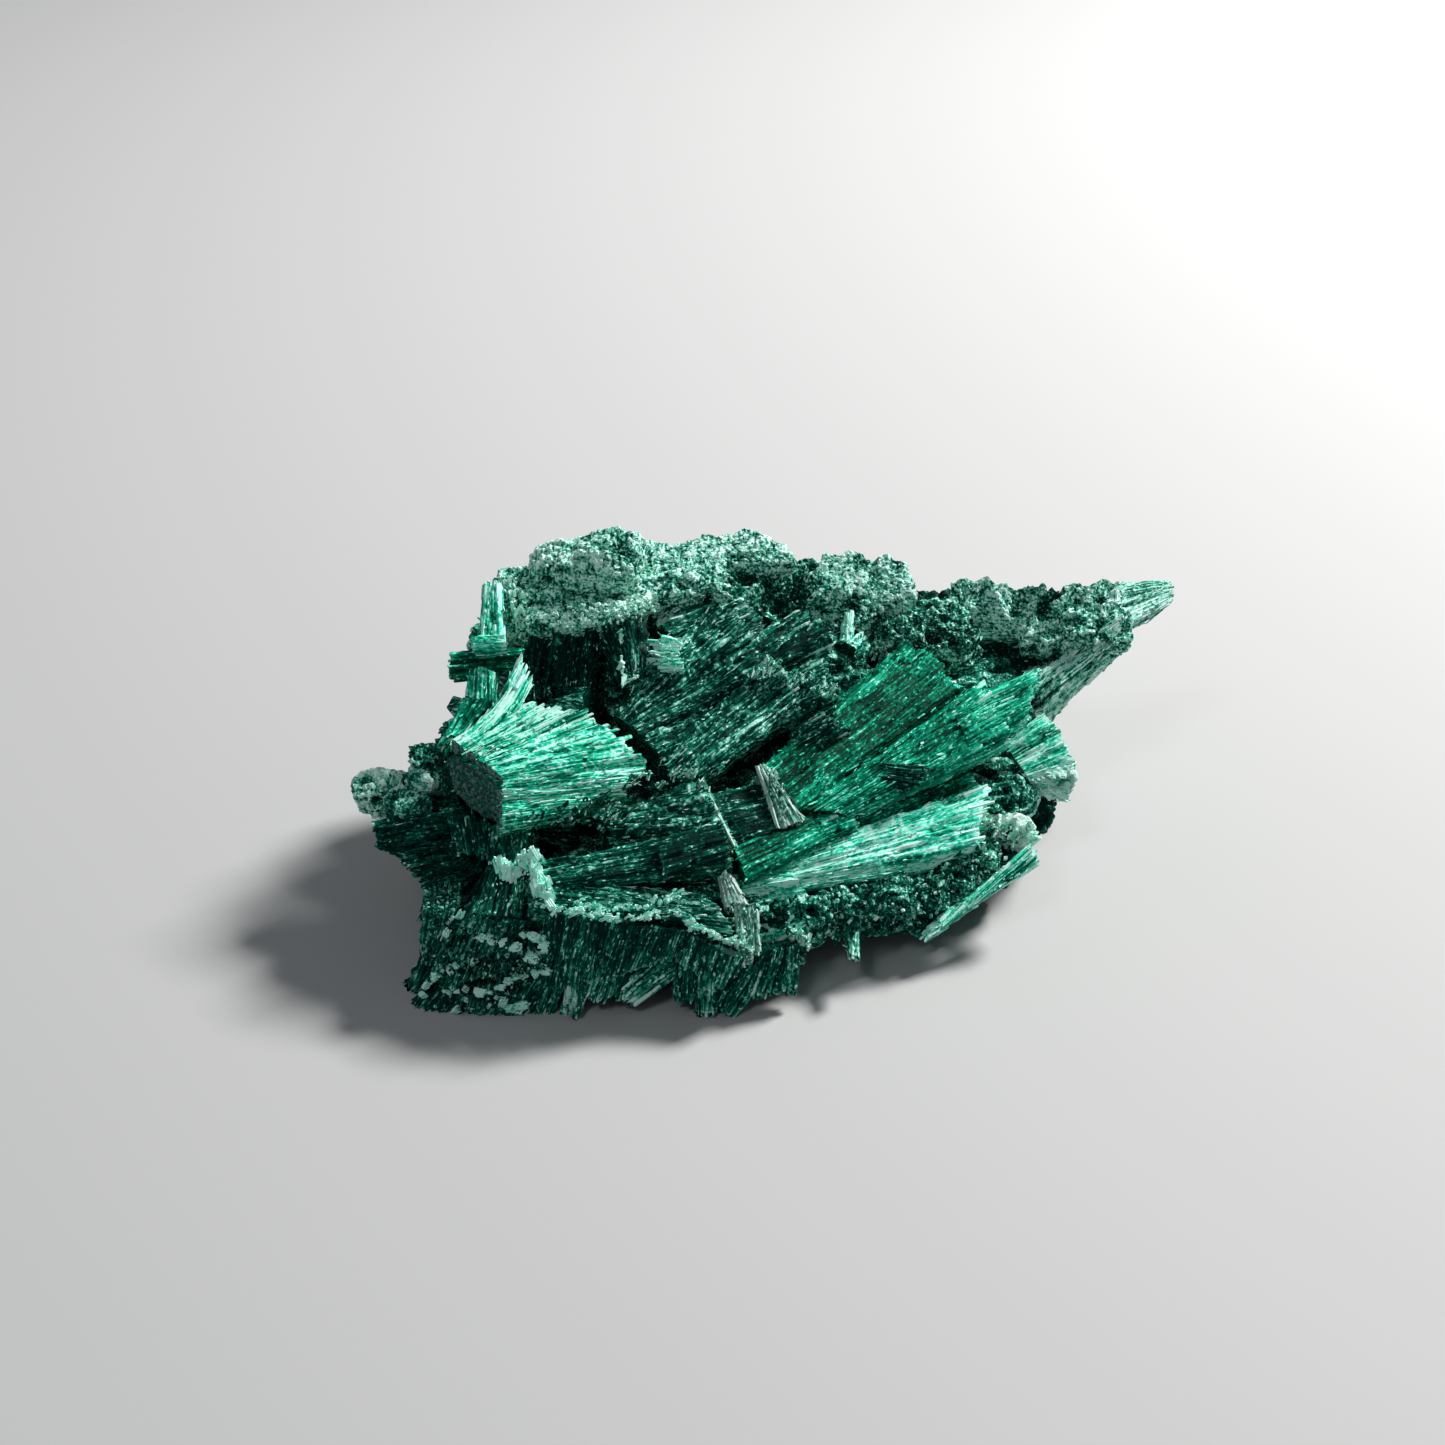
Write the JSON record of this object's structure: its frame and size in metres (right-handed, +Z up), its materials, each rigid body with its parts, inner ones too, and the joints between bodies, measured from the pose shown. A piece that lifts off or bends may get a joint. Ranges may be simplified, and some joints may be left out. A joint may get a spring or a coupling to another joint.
{
  "type": "malachite cluster",
  "caption": "Hand specimen of fibrous malachite: fans and broken bundles of green fibres on a rough heart, granular crust on top, a spiked arm at one end",
  "frame": {"origin": "on the resting plane, under the middle of the bounding box in X and Y", "axes": "+X along the specimen towards the spiked arm, -Y the broken side with the fans, +Z up"},
  "size_m": [0.0673, 0.0404, 0.0244],
  "materials": {
    "malachite": "silky along the fibres, dull on broken ends and crust"
  },
  "bodies": {
    "root": {"malachite_cluster": "malachite"}
  },
  "joints": []
}
